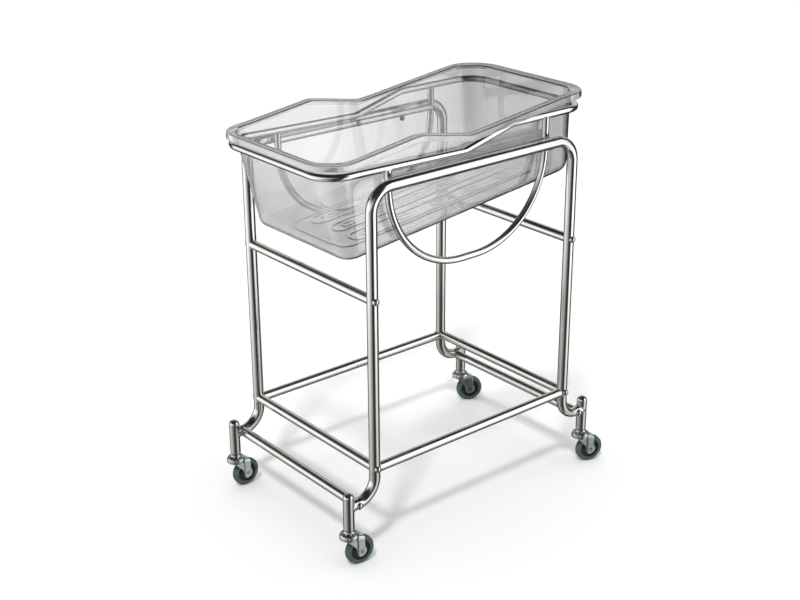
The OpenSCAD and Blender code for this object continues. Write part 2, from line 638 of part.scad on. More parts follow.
module axle(i) {
    color(zinc) at_axle(i) {
        cylinder(h = 2 * (fork_in + fork_t), r = axle_r, center = true);
        for (s = [0, 180]) rotate([s, 0, 0]) translate([0, 0, fork_in + fork_t])
            domed_head(axle_head_r, axle_head_h);
    }
}
web_w = 6;
module hub(i) {
    color(black) at_axle(i) difference() {
        union() {
            cylinder(h = wheel_w + side_play, r = hub_r, center = true);
            cylinder(h = web_w, r = tyre_inner_r, center = true);
            difference() {
                cylinder(h = wheel_w - 4, r = tyre_inner_r, center = true);
                cylinder(h = wheel_w, r = tyre_inner_r - 3, center = true);
            }
        }
        cylinder(h = 2 * wheel_w, r = axle_r + axle_gap, center = true);
    }
}
shoulder = 4;
module tyre(i) {
    color(rubber) at_axle(i) rotate_extrude() polygon([[tyre_inner_r, -wheel_w / 2 + 1],
        [tyre_inner_r + 2, -wheel_w / 2], [wheel_r - shoulder, -wheel_w / 2],
        [wheel_r - shoulder * 0.3, -wheel_w / 2 + shoulder * 0.45], [wheel_r, -wheel_w / 2 + shoulder * 1.4],
        [wheel_r, wheel_w / 2 - shoulder * 1.4], [wheel_r - shoulder * 0.3, wheel_w / 2 - shoulder * 0.45],
        [wheel_r - shoulder, wheel_w / 2], [tyre_inner_r + 2, wheel_w / 2], [tyre_inner_r, wheel_w / 2 - 1]]);
}

placed() side_frame(-1);  // side_frame_right
placed() side_frame(1);  // side_frame_left
placed() post(-1, -1);  // post_foot_right
placed() post(-1, 1);  // post_foot_left
placed() post(1, -1);  // post_head_right
placed() post(1, 1);  // post_head_left
placed() long_bar(-1);  // long_bar_right
placed() long_bar(1);  // long_bar_left
placed() crossbar(-leg_x, lower_bar_z);  // lower_crossbar_foot
placed() crossbar(leg_x, lower_bar_z);  // lower_crossbar_head
placed() crossbar(-leg_x, middle_bar_z);  // middle_crossbar_foot
placed() crossbar(leg_x, middle_bar_z);  // middle_crossbar_head
placed() crossbar(-bottom_bar_x, flare_z);  // bottom_crossbar_foot
placed() crossbar(bottom_bar_x, flare_z);  // bottom_crossbar_head
placed() bolts(leg_x, middle_bar_z);  // middle_bolts
placed() bolts(leg_x, lower_bar_z);  // lower_bolts
placed() bolts(bottom_bar_x, flare_z);  // bottom_bolts
placed() rim_ring();
placed() side_bar(-1);  // side_bar_right
placed() side_bar(1);  // side_bar_left
placed() side_arc(-1);  // side_arc_right
placed() side_arc(1);  // side_arc_left
placed() pivot_bolt(-1);  // pivot_bolt_right
placed() pivot_bolt(1);  // pivot_bolt_left
placed() pivot_spacers();
placed() lock_spindle();
placed() lock_lever();
placed() lock_knob();
placed() tub();
placed() socket(0);  // socket_foot_right
placed() socket(1);  // socket_foot_left
placed() socket(2);  // socket_head_right
placed() socket(3);  // socket_head_left
placed() stem(0);  // stem_foot_right
placed() stem(1);  // stem_foot_left
placed() stem(2);  // stem_head_right
placed() stem(3);  // stem_head_left
placed() fork(0);  // fork_foot_right
placed() fork(1);  // fork_foot_left
placed() fork(2);  // fork_head_right
placed() fork(3);  // fork_head_left
placed() axle(0);  // axle_foot_right
placed() axle(1);  // axle_foot_left
placed() axle(2);  // axle_head_right
placed() axle(3);  // axle_head_left
placed() hub(0);  // hub_foot_right
placed() hub(1);  // hub_foot_left
placed() hub(2);  // hub_head_right
placed() hub(3);  // hub_head_left
placed() tyre(0);  // tyre_foot_right
placed() tyre(1);  // tyre_foot_left
placed() tyre(2);  // tyre_head_right
placed() tyre(3);  // tyre_head_left
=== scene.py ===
"""Looks of the hospital infant bassinet: clear tub, tilting tube cradle, steel stand, casters."""
import math

import bpy
import numpy as np
from mathutils import Matrix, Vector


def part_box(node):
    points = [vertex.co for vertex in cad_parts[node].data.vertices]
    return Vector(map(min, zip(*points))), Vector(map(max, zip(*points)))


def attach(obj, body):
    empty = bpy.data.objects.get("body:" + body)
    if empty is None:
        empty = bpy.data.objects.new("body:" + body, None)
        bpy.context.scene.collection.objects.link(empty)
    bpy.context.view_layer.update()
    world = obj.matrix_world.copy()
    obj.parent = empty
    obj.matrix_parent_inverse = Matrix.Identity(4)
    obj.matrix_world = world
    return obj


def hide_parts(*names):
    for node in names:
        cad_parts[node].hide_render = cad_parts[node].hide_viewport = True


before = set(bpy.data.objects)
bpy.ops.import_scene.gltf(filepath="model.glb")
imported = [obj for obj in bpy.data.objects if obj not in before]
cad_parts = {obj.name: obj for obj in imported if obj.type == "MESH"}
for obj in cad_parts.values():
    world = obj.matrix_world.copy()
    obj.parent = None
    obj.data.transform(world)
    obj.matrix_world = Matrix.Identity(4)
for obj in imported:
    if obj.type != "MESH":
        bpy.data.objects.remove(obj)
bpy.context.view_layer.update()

# Sizes in millimetres, from the middle of the stand
LEG_X, LEG_Y = 292.5, 225.0
FRAME_R, TOP_BAR_Z, TOP_BEND_R = 12.5, 857.5, 50.0
FLARE_BEND_R, FLARE_Z, POST_X = 52.0, 148.0, 366.5
BAR_R, LOWER_BAR_Z, LONG_BAR_Z = 11.0, 220.5, 218.0
MIDDLE_BAR_Z, BOTTOM_BAR_X = 616.5, 344.5
BOLT_R, BOLT_H, BOLT_SKIRT = 8.0, 6.0, 2.8
POST_R, POST_BOTTOM_Z, POST_TOP_Z, POST_DOME_H = 12.5, 94.0, 183.0, 11.0
CRADLE_R, RING_Y, RING_FOOT_X, RING_HEAD_X, RING_CORNER_R = 8.0, 192.0, -378.0, 366.0, 62.0
RING_LOW_Z, RING_POST_Z, RING_DIP, RING_HIGH_Z = 884.5, 882.5, 7.0, 914.0
RISE_START_X, RISE_END_X, RISE_BEND_R = -8.0, 130.0, 50.0
ARC_Y, ARC_FOOT_X, ARC_HEAD_X, ARC_BOTTOM_Z, ARC_BEND_R = 198.0, -226.0, 230.0, 637.0, 208.0
LOCK_X, LEVER_Z, LEVER_LEN, LEVER_W, LEVER_T = 140.0, 870.3, 46.0, 9.0, 3.0
KNOB_R, KNOB_H, KNOB_TOP_Z = 6.0, 10.0, 849.2
TUB_T, LIP_DEPTH, FLOOR_ROUND_R = 3.0, 15.0, 26.0
INNER_EDGE_R, OUTER_EDGE_R, LIP_EDGE_R = 4.0, 5.0, 1.5
FLOOR_Z, FLOOR_SLOPE = 720.0, math.tan(math.radians(6.6))
RIM_LINE = ((-315.5, 914.0), (-135.0, 939.5), (10.0, 913.5), (300.0, 951.5))
WHEEL_R, WHEEL_W, TRAIL, TYRE_IN_R = 35.0, 18.0, 25.0, 24.0
FORK_IN, FORK_T, FORK_LEG_R, CROWN_Z, SWIVEL_TOP_Z = 10.2, 2.4, 12.5, 76.0, 91.5

# A bar's end stops this far short of the axis of the tube that it meets, out of sight inside it
BAR_INSET = 2.0
# An arc's ends stop this far below the ring's axis, out of sight inside it
ARC_INSET = 3.0
# Where two tubes are equally thick, their bead is drawn for a branch thinner by this, to keep it whole
WELD_INSET = 0.2
# A bead has so many ripples round it, and each swells its radius by so large a share
WELD_RIPPLES, WELD_SWELL = 24, 0.13
# The flange's two grooves: depth, width and places as shares of the way across it
GROOVE_DEPTH, GROOVE_W, GROOVES = 0.8, 0.09, (0.3, 0.72)
# The housing's dimples: depth, radius, and the turn in degrees, radius and height of each one's middle
DIMPLE_DEPTH, DIMPLE_R = 1.5, 2.0
DIMPLES = ((-150, 15.5, 85.5), (-95, 15.5, 85.5), (-122, 21.5, 79.5))

# Each end and side with its sign along x or y; each caster with both signs and its swivel angle in degrees
ENDS = (("foot", -1), ("head", 1))
SIDES = (("right", -1), ("left", 1))
CASTERS = (("foot_right", -1, -1, -8), ("foot_left", -1, 1, 0),
           ("head_right", 1, -1, -20), ("head_left", 1, 1, -27))

# The tub's outlines seen from above: foot end, head end, half width, foot corner radius, head corner radius
RIM_OUT = np.array([-391.5, 387.0, 204.5, 76.0, 84.0])
WALL_TOP = np.array([-375.0, 356.5, 184.5, 60.0, 60.0])
WALL_LOW = np.array([-320.0, 352.0, 175.5, 42.0, 42.0])
GROWN = np.array([-1.0, 1.0, 1.0, 1.0, 1.0])

# Steps of such an outline round a corner, along a side and across an end
CORNER_STEPS, SIDE_STEPS, END_STEPS = 32, 240, 104

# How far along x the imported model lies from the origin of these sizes
SHIFT_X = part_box("tub")[0].x * 1000 - RIM_OUT[0]
X, Y, Z = np.eye(3)


def unit(v):
    """A vector, or each row of an array of them, divided by its length."""
    return v / np.linalg.norm(v, axis=-1, keepdims=True)


def smooth_step(low, high, v):
    """0 below low, 1 above high, and 3t^2 - 2t^3 between them."""
    t = np.clip((v - low) / (high - low), 0, 1)
    return t * t * (3 - 2 * t)


def at(x, y, z):
    """A point, as an array."""
    return np.array([x, y, z], float)


def grid_faces(rows, cols, wrap_rows=False, wrap_cols=True):
    """The quads of a grid of points, row by row. A wrapped direction joins its last line to its first."""
    i, j = np.meshgrid(np.arange(rows - (not wrap_rows)), np.arange(cols - (not wrap_cols)), indexing="ij")
    i2, j2 = (i + 1) % rows, (j + 1) % cols
    return np.stack([i * cols + j, i2 * cols + j, i2 * cols + j2, i * cols + j2], -1).reshape(-1, 4)


def arc(centre, radius, start, end, steps):
    """Points on a circle: centre + radius (cos a, sin a), a running from start to end degrees."""
    a = np.radians(np.linspace(start, end, steps + 1))
    return np.array(centre) + radius * np.stack([np.cos(a), np.sin(a)], 1)


def filleted(corners, radii, steps=10):
    """A line of straight runs whose inner corners are arcs. At a corner b with unit vectors u and v towards
    its neighbours and half their angle h, the arc's centre is b + r (u + v) / (|u + v| sin h)."""
    corners = [np.asarray(c, float) for c in corners]
    line = [corners[0][None]]
    for a, b, c, r in zip(corners, corners[1:], corners[2:], radii):
        u, v = unit(a - b), unit(c - b)
        half = math.acos(np.clip(u @ v, -1, 1)) / 2
        centre = b + unit(u + v) * r / math.sin(half)
        start, end = b + u * r / math.tan(half) - centre, b + v * r / math.tan(half) - centre
        turn = math.pi - 2 * half
        t = np.linspace(0, 1, steps + 1)[:, None]
        line.append(centre + (start * np.sin((1 - t) * turn) + end * np.sin(t * turn)) / math.sin(turn))
    line.append(corners[-1][None])
    return np.vstack(line)


def spaced(line, step):
    """The same line with extra points, so that none of its steps is longer than step."""
    parts = []
    for a, b in zip(line, line[1:]):
        count = max(2, math.ceil(np.linalg.norm(b - a) / step) + 1)
        parts.append(np.linspace(a, b, count)[:-1])
    return np.vstack(parts + [line[-1:]])


def sweep(line, section, side=Y, closed=False, scale=None):
    """A section carried along a line. With t the line's direction, out = t x side and up = out x t, its
    points are line + scale (section_0 out + section_1 up). The third thing returned is each point's distance
    run along it."""
    step = np.diff(np.vstack([line, line[:1]]), axis=0) if closed else np.diff(line, axis=0)
    length = np.linalg.norm(step, axis=1)
    way = step / length[:, None]
    mean = way + np.roll(way, 1, 0) if closed else np.vstack([way[:1], way[1:] + way[:-1], way[-1:]])
    t = unit(mean)
    out = unit(np.cross(t, side))
    up = np.cross(out, t)
    s = np.ones(len(line)) if scale is None else scale
    around = section[None, :, :1] * out[:, None] + section[None, :, 1:] * up[:, None]
    points = line[:, None] + s[:, None, None] * around
    n, m = len(line), len(section)
    faces = [grid_faces(n, m, wrap_rows=closed)]
    if not closed:
        faces += [np.arange(m)[None], np.arange((n - 1) * m, n * m)[::-1][None]]
    run = np.concatenate([[0], np.cumsum(length)])[:n]
    return points.reshape(-1, 3), faces, np.repeat(run, m)


def circle(r, sides=40):
    """A circle's points, r (cos a, sin a), anticlockwise."""
    a = np.arange(sides) * 2 * math.pi / sides
    return r * np.stack([np.cos(a), np.sin(a)], 1)


def rod(line, r, side=Y, closed=False, sides=40, step=30.0):
    """A round bar or tube along a line."""
    return sweep(line if closed else spaced(line, step), circle(r, sides), side, closed)


def lathe(profile, centre, axis=Z, sides=64, closed=False):
    """A profile of (radius, height) turned about an axis: centre + height axis + radius (cos a f + sin a g).
    The profile runs from one point on the axis to another, or is a closed ring, outside on its right hand."""
    axis = unit(np.asarray(axis, float))
    f = unit(np.cross(axis, Y if abs(axis[1]) < 0.9 else X))
    g = np.cross(axis, f)
    centre = np.asarray(centre, float)
    profile = np.asarray(profile, float)
    off_axis = profile if closed else profile[profile[:, 0] > 1e-6]
    a = np.arange(sides) * 2 * math.pi / sides
    ring = np.cos(a)[:, None] * f + np.sin(a)[:, None] * g
    points = centre + off_axis[:, None, :1] * ring[None] + off_axis[:, None, 1:] * axis
    n = len(off_axis)
    faces = [grid_faces(n, sides, wrap_rows=closed)[:, ::-1]]
    points = points.reshape(-1, 3)
    if not closed:
        around = np.arange(sides)
        after = (around + 1) % sides
        last_row = (n - 1) * sides
        poles = centre + profile[[0, -1]][:, 1:] * axis
        first, last = len(points), len(points) + 1
        faces.append(np.stack([np.full(sides, first), after, around], 1)[:, ::-1])
        faces.append(np.stack([np.full(sides, last), last_row + around, last_row + after], 1)[:, ::-1])
        points = np.vstack([points, poles])
    return points, faces, (points - centre) @ axis


def strip(line, across, low, high, thick, lift=None, width_steps=24):
    """Sheet metal along a line: at each of its points the sheet runs from low to high along across, its
    faces half its thickness either side along normal = t x across, moved out by lift(point), its edges half
    circles."""
    t = unit(np.gradient(line, axis=0))
    normal = unit(np.cross(t, across))
    half = thick / 2
    face, flat = np.linspace(0, 1, width_steps), np.zeros(width_steps)
    edge = np.radians(np.linspace(90, -90, 7)[1:-1])
    share = np.concatenate([face, np.ones(5), face[::-1], np.zeros(5)])
    over = np.concatenate([flat, np.cos(edge), flat, -np.cos(edge)]) * half
    rise = np.concatenate([flat + 1, np.sin(edge), flat - 1, -np.sin(edge)]) * half
    wide = np.maximum(high - low - thick, 0.05)
    reach = (low + high - wide)[:, None] / 2 + wide[:, None] * share + over
    points = line[:, None] + reach[..., None] * across + rise[None, :, None] * normal[:, None]
    if lift is not None:
        points = points + lift(points)[..., None] * normal[:, None]
    n, m = len(line), len(share)
    faces = [grid_faces(n, m), np.arange(m)[None], np.arange((n - 1) * m, n * m)[::-1][None]]
    return points.reshape(-1, 3), faces, np.repeat(line[:, 2], m)


def weld(branch_r, main_r, main_point, towards, along, bead_r=1.5):
    """The bead where a tube of branch_r meets a tube of main_r square on. Round the branch at angle a it lies
    sqrt(main_r^2 - (branch_r sin a)^2) out from the main tube's axis, and its radius swells and shrinks a
    little."""
    a = np.arange(96) * 2 * math.pi / 96
    third = np.cross(towards, along)
    out = np.sqrt(np.maximum(main_r ** 2 - (branch_r * np.sin(a)) ** 2, 0))
    round_branch = branch_r * (np.cos(a)[:, None] * along + np.sin(a)[:, None] * third)
    line = main_point + out[:, None] * towards + round_branch
    swell = 1 + WELD_SWELL * np.sin(a * WELD_RIPPLES)
    return sweep(line, circle(bead_r, 12), towards, closed=True, scale=swell)


def make(name, shells, material, body, replaced=(), sharp=35.0):
    """Puts closed shells, in millimetres from the middle of the stand, into one mesh that rides on a body."""
    points, faces, run, count = [], [], [], 0
    for shell_points, shell_faces, shell_run in shells:
        points.append(shell_points)
        run.append(shell_run)
        faces += [row for group in shell_faces for row in (group + count).tolist()]
        count += len(shell_points)
    points = (np.vstack(points) + np.array([SHIFT_X, 0, 0])) / 1000
    mesh = bpy.data.meshes.new(name)
    mesh.from_pydata(points.tolist(), [], faces)
    along = mesh.attributes.new("along", "FLOAT", "POINT")
    along.data.foreach_set("value", (np.concatenate(run) / 1000).astype(np.float32))
    mesh.polygons.foreach_set("use_smooth", np.ones(len(mesh.polygons), bool))
    mesh.set_sharp_from_angle(angle=math.radians(sharp))
    mesh.materials.append(material)
    mesh.update()
    piece = bpy.data.objects.new(name, mesh)
    bpy.context.scene.collection.objects.link(piece)
    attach(piece, body)
    if replaced:
        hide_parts(*replaced)
    return piece


class Graph:
    """A node tree being put together. Values may be numbers, colours or other nodes' outputs."""

    def __init__(self, tree):
        self.tree = tree
        self.nodes = tree.nodes

    def link(self, source, target):
        self.tree.links.new(source, target)

    def feed(self, socket, value):
        """Gives a socket its number or colour, or links it to an output."""
        if isinstance(value, tuple):
            socket.default_value = (*value, 1)
        elif isinstance(value, (int, float)):
            socket.default_value = value
        else:
            self.link(value, socket)

    def math(self, operation, a, b=0.0, clamp=False):
        node = self.nodes.new("ShaderNodeMath")
        node.operation = operation
        node.use_clamp = clamp
        self.feed(node.inputs[0], a)
        self.feed(node.inputs[1], b)
        return node.outputs[0]

    def times(self, a, b):
        return self.math("MULTIPLY", a, b)

    def spread(self, value, low, high, start=0.3, end=0.7, smooth=False):
        """Carries value from start..end over to low..high, and no further."""
        node = self.nodes.new("ShaderNodeMapRange")
        if smooth:
            node.interpolation_type = "SMOOTHSTEP"
        for key, number in (("From Min", start), ("From Max", end), ("To Min", low), ("To Max", high)):
            node.inputs[key].default_value = number
        self.link(value, node.inputs["Value"])
        return node.outputs["Result"]

    def mix(self, share, a, b):
        node = self.nodes.new("ShaderNodeMix")
        node.data_type = "RGBA"
        self.link(share, node.inputs[0])
        self.feed(node.inputs[6], a)
        self.feed(node.inputs[7], b)
        return node.outputs[2]

    def mix_shaders(self, share, a, b):
        node = self.nodes.new("ShaderNodeMixShader")
        for socket, source in zip(node.inputs, (share, a, b)):
            self.link(source, socket)
        return node.outputs[0]

    def split(self, vector):
        node = self.nodes.new("ShaderNodeSeparateXYZ")
        self.link(vector, node.inputs[0])
        return node.outputs

    def light_path(self):
        return self.nodes.new("ShaderNodeLightPath").outputs


class Finish(Graph):
    """A material being put together: one Principled shader and the nodes that feed it."""

    def __init__(self, name, **values):
        self.material = bpy.data.materials.new(name)
        self.material.use_nodes = True
        super().__init__(self.material.node_tree)
        self.shader = self.nodes["Principled BSDF"]
        self.surface = self.nodes["Material Output"].inputs["Surface"]
        for key, value in values.items():
            self.shader.inputs[key.replace("_", " ")].default_value = value
        self.place = self.nodes.new("ShaderNodeTexCoord").outputs["Object"]

    def noise(self, scale, detail=3.0, roughness=0.5):
        node = self.nodes.new("ShaderNodeTexNoise")
        node.inputs["Scale"].default_value = scale
        node.inputs["Detail"].default_value = detail
        node.inputs["Roughness"].default_value = roughness
        self.link(self.place, node.inputs["Vector"])
        return node.outputs["Fac"]

    def lines(self, scale):
        """Fine lines round a tube: noise read along its length only."""
        read = self.nodes.new("ShaderNodeAttribute")
        read.attribute_name = "along"
        node = self.nodes.new("ShaderNodeTexNoise")
        node.noise_dimensions = "1D"
        node.inputs["Scale"].default_value = scale
        node.inputs["Detail"].default_value = 4.0
        self.link(read.outputs["Fac"], node.inputs["W"])
        return node.outputs["Fac"]

    def colour(self, source):
        self.link(source, self.shader.inputs["Base Color"])

    def mottle(self, scale, dark, pale, detail=3.0, roughness=0.5):
        """A colour that wanders between dark and pale over noise of this scale."""
        self.colour(self.mix(self.spread(self.noise(scale, detail, roughness), 0, 1), dark, pale))

    def rough(self, source):
        self.link(source, self.shader.inputs["Roughness"])

    def bump(self, height, strength, distance):
        node = self.nodes.new("ShaderNodeBump")
        node.inputs["Strength"].default_value = strength
        node.inputs["Distance"].default_value = distance
        self.link(height, node.inputs["Height"])
        self.link(node.outputs["Normal"], self.shader.inputs["Normal"])


def polished_stainless():
    """Warm stainless tube, belt polished: faint cloudy tone, fine lines round it, slightly uneven gloss."""
    finish = Finish("polished_stainless", Metallic=1.0)
    finish.mottle(9.0, (0.80, 0.79, 0.76), (0.87, 0.86, 0.83), 4.0)
    lines = finish.lines(900.0)
    gloss = finish.spread(finish.noise(30.0), 0.08, 0.14)
    finish.rough(finish.math("ADD", finish.spread(lines, 0.0, 0.05), gloss))
    finish.bump(lines, 0.08, 0.0001)
    return finish.material


def weld_bead():
    """Brushed weld metal, a little duller and warmer than the tubes."""
    finish = Finish("weld_bead", Metallic=1.0)
    finish.mottle(160.0, (0.60, 0.57, 0.51), (0.74, 0.72, 0.68))
    finish.rough(finish.spread(finish.noise(400.0), 0.24, 0.4))
    finish.bump(finish.noise(900.0), 0.25, 0.0003)
    return finish.material


def bright_zinc():
    """Bolts and small fittings: bright bluish zinc with a soft mottle."""
    finish = Finish("bright_zinc", Metallic=1.0)
    finish.mottle(120.0, (0.62, 0.65, 0.66), (0.78, 0.80, 0.80))
    finish.rough(finish.spread(finish.noise(260.0), 0.09, 0.18))
    finish.bump(finish.noise(1400.0), 0.1, 0.0002)
    return finish.material


def pressed_zinc():
    """Caster sheet: zinc plate, bluish, with small spangles and rub marks."""
    finish = Finish("pressed_zinc", Metallic=1.0)
    cells = finish.nodes.new("ShaderNodeTexVoronoi")
    cells.inputs["Scale"].default_value = 210.0
    finish.link(finish.place, cells.inputs["Vector"])
    rubbed = finish.times(finish.noise(70.0, 5.0), 0.7)
    tone = finish.math("ADD", finish.times(cells.outputs["Distance"], 0.35), rubbed)
    finish.colour(finish.mix(finish.spread(tone, 0, 1, 0.3, 0.75), (0.56, 0.62, 0.65), (0.76, 0.81, 0.83)))
    finish.rough(finish.spread(finish.noise(150.0, 4.0), 0.24, 0.42))
    finish.bump(finish.noise(800.0), 0.12, 0.0003)
    return finish.material


def dimple_shade_steel():
    """Axle ends: near-black steel, painted shade for the dark dot of the axle's dimple."""
    finish = Finish("dimple_shade_steel", Metallic=1.0)
    finish.mottle(200.0, (0.03, 0.034, 0.034), (0.055, 0.06, 0.06))
    finish.rough(finish.spread(finish.noise(400.0), 0.3, 0.45))
    finish.bump(finish.noise(900.0), 0.15, 0.0003)
    return finish.material


def clear_plastic():
    """Clear moulded plastic with a faint grey cast, and painted shade that makes it darker low down and
    towards the head end. To the lamp's rays, and to rays that metal or another wall has mirrored, it is a
    thin tinted film that they pass straight."""
    finish = Finish("clear_plastic", Transmission_Weight=0.93, IOR=1.49, Coat_Weight=1.0)
    cloud = finish.spread(finish.noise(5.0, 2.0), 0, 1)
    # Painted shade: the head end's tones are far darker than the foot's, standing in for how the light falls
    # there
    foot_tone = finish.mix(cloud, (0.85, 0.85, 0.856), (0.88, 0.88, 0.886))
    head_shade_tone = finish.mix(cloud, (0.48, 0.48, 0.486), (0.54, 0.54, 0.546))
    place = finish.split(finish.place)
    head_share = finish.spread(place["X"], 0, 1, -0.15, 0.32)
    upper = finish.mix(head_share, foot_tone, head_shade_tone)
    # Painted shade: the lower part of the tub is darker than its upper part, most of all at the head end
    lower = finish.mix(head_share, (0.80, 0.80, 0.812), (0.55, 0.55, 0.56))
    finish.colour(finish.mix(finish.spread(place["Z"], 0, 1, 0.70, 0.81), lower, upper))
    finish.rough(finish.spread(finish.noise(14.0, 3.0), 0.01, 0.035))
    finish.bump(finish.noise(6.0, 1.0), 0.05, 0.002)
    path = finish.light_path()
    film = finish.nodes.new("ShaderNodeBsdfTransparent")
    film_tone = finish.mix(path["Is Shadow Ray"], (0.89, 0.89, 0.895), (0.965, 0.965, 0.97))
    finish.link(film_tone, film.inputs["Color"])
    passing = finish.math("MAXIMUM", path["Is Shadow Ray"], path["Glossy Depth"], clamp=True)
    finish.link(finish.mix_shaders(passing, finish.shader.outputs[0], film.outputs[0]), finish.surface)
    return finish.material


def grey_green_rubber():
    """Tyre rubber, grey green, mottled at random between darker and paler."""
    finish = Finish("grey_green_rubber", Specular_IOR_Level=0.4)
    finish.mottle(60.0, (0.062, 0.10, 0.086), (0.11, 0.155, 0.138), 5.0, 0.6)
    finish.rough(finish.spread(finish.noise(180.0), 0.42, 0.62))
    finish.bump(finish.noise(1100.0, 4.0), 0.25, 0.0004)
    return finish.material


def dark_moulding(name, dark, pale):
    """Dark moulded plastic with a fine grain."""
    finish = Finish(name, Specular_IOR_Level=0.45)
    finish.mottle(90.0, dark, pale, 4.0)
    finish.rough(finish.spread(finish.noise(300.0), 0.36, 0.52))
    finish.bump(finish.noise(1300.0, 3.0), 0.2, 0.0003)
    return finish.material


def upright_line(corners, bends, y, steps=24):
    """A bent tube's axis in the plane of a side, from (x, z) corners."""
    line = filleted(corners, bends, steps)
    return np.stack([line[:, 0], np.full(len(line), float(y)), line[:, 1]], 1)


def build_side_frames(steel, bead):
    """Side frames and long bars, with the beads of the long bars and of the frames' feet on the posts."""
    corners = [(-POST_X, FLARE_Z), (-LEG_X, FLARE_Z), (-LEG_X, TOP_BAR_Z),
               (LEG_X, TOP_BAR_Z), (LEG_X, FLARE_Z), (POST_X, FLARE_Z)]
    bends = (FLARE_BEND_R, TOP_BEND_R, TOP_BEND_R, FLARE_BEND_R)
    for side, sign in SIDES:
        y = sign * LEG_Y
        tube = rod(upright_line(corners, bends, y), FRAME_R, sides=56)
        make(f"side_frame_tube_{side}", [tube], steel, "stand", [f"side_frame_{side}"])
        run = np.array([at(BAR_INSET - LEG_X, y, LONG_BAR_Z), at(LEG_X - BAR_INSET, y, LONG_BAR_Z)])
        make(f"long_bar_tube_{side}", [rod(run, BAR_R)], steel, "stand",
             [f"long_bar_{side}"])
        beads = [weld(BAR_R, FRAME_R, at(end * LEG_X, y, LONG_BAR_Z), -end * X, Z) for end in (-1, 1)]
        make(f"long_bar_welds_{side}", beads, bead, "stand")
        beads = [weld(FRAME_R - WELD_INSET, POST_R, at(end * POST_X, y, FLARE_Z), -end * X, Z, 1.8)
                 for end in (-1, 1)]
        make(f"post_welds_{side}", beads, bead, "stand")


def build_crossbars(steel, zinc):
    """The three pairs of crossbars and their domed bolt heads."""
    head = np.vstack([[(0, BOLT_H)],
                      filleted([(1.2, BOLT_H - 0.03), (BOLT_R - 2.0, BOLT_H - 1.1), (BOLT_R, 1.2),
                                (BOLT_R, -BOLT_SKIRT)], (9, 3.0), 8),
                      [(0, -BOLT_SKIRT)]])
    levels = (("lower", LEG_X, LOWER_BAR_Z), ("middle", LEG_X, MIDDLE_BAR_Z),
              ("bottom", BOTTOM_BAR_X, FLARE_Z))
    for level, x, z in levels:
        for end, sign in ENDS:
            run = np.array([at(sign * x, BAR_INSET - LEG_Y, z), at(sign * x, LEG_Y - BAR_INSET, z)])
            make(f"{level}_crossbar_tube_{end}", [rod(run, BAR_R, side=Z)], steel, "stand",
                 [f"{level}_crossbar_{end}"])
        heads = [lathe(head, at(end * x, side * (LEG_Y + FRAME_R), z), side * Y, 40)
                 for end in (-1, 1) for side in (-1, 1)]
        make(f"{level}_bolt_heads", heads, zinc, "stand", [f"{level}_bolts"])


def build_posts(steel):
    """The four caster posts. Each top is a dome: radius POST_R cos a, height POST_DOME_H sin a."""
    dome_z = POST_TOP_Z - POST_DOME_H
    a = np.radians(np.linspace(90, 0, 15))
    dome = np.stack([POST_R * np.cos(a), dome_z + POST_DOME_H * np.sin(a)], 1)
    foot = [(POST_R, POST_BOTTOM_Z + 0.8), (POST_R - 0.8, POST_BOTTOM_Z), (0, POST_BOTTOM_Z)]
    profile = np.vstack([dome, foot])
    profile[0, 0] = 0
    for corner, end, side, _ in CASTERS:
        post = lathe(profile, at(end * POST_X, side * LEG_Y, 0))
        make(f"post_tube_{corner}", [post], steel, "stand", [f"post_{corner}"])


def ring_corner(x, y, start, z):
    """A quarter turn of the ring's axis round (x, y), from start degrees on, at height z."""
    points = arc((x, y), RING_CORNER_R, start, start + 90, 22)
    return np.column_stack([points, np.full(len(points), z)])


def ring_line():
    """The rim ring's axis, anticlockwise: a rounded rectangle whose sides dip, then rise to the head end."""
    head, foot = RING_HEAD_X - RING_CORNER_R, RING_FOOT_X + RING_CORNER_R
    side = filleted([(head, RING_HIGH_Z), (RISE_END_X, RING_HIGH_Z), (RISE_START_X, RING_LOW_Z - RING_DIP),
                     (foot, RING_LOW_Z)], (RISE_BEND_R, RISE_BEND_R), 8)
    side = spaced(side, 20.0)
    left = np.stack([side[:, 0], np.full(len(side), RING_Y), side[:, 1]], 1)
    right = np.stack([side[::-1, 0], np.full(len(side), -RING_Y), side[::-1, 1]], 1)
    y = RING_Y - RING_CORNER_R
    foot_end = np.vstack([ring_corner(foot, y, 90, RING_LOW_Z), ring_corner(foot, -y, 180, RING_LOW_Z)])
    head_end = np.vstack([ring_corner(head, -y, 270, RING_HIGH_Z), ring_corner(head, y, 0, RING_HIGH_Z)])
    return np.vstack([left[1:-1], foot_end, right[1:-1], head_end])


def lever_plate():
    """The lock's lever: a flat plate with round ends, bent up a little on its way out."""
    end_r, far_x = LEVER_W / 2, LOCK_X + LEVER_LEN
    x = np.concatenate([LOCK_X - end_r * np.cos(np.radians(np.linspace(3, 90, 10))),
                        np.linspace(LOCK_X + 2, far_x - LEVER_W, 16),
                        far_x - end_r + end_r * np.sin(np.radians(np.linspace(0, 87, 10)))])
    low_end = np.clip((LOCK_X - x) / end_r, 0, 1)
    high_end = np.clip((x - far_x + end_r) / end_r, 0, 1)
    half = end_r * np.sqrt(np.maximum(1 - np.maximum(low_end, high_end) ** 2, 0.001))
    z = LEVER_Z + LEVER_T / 2 + 2.6 * smooth_step(LOCK_X + 22, LOCK_X + 36, x)
    return strip(np.stack([x, np.full(len(x), ARC_Y), z], 1), Y, -half, half, LEVER_T, width_steps=10)


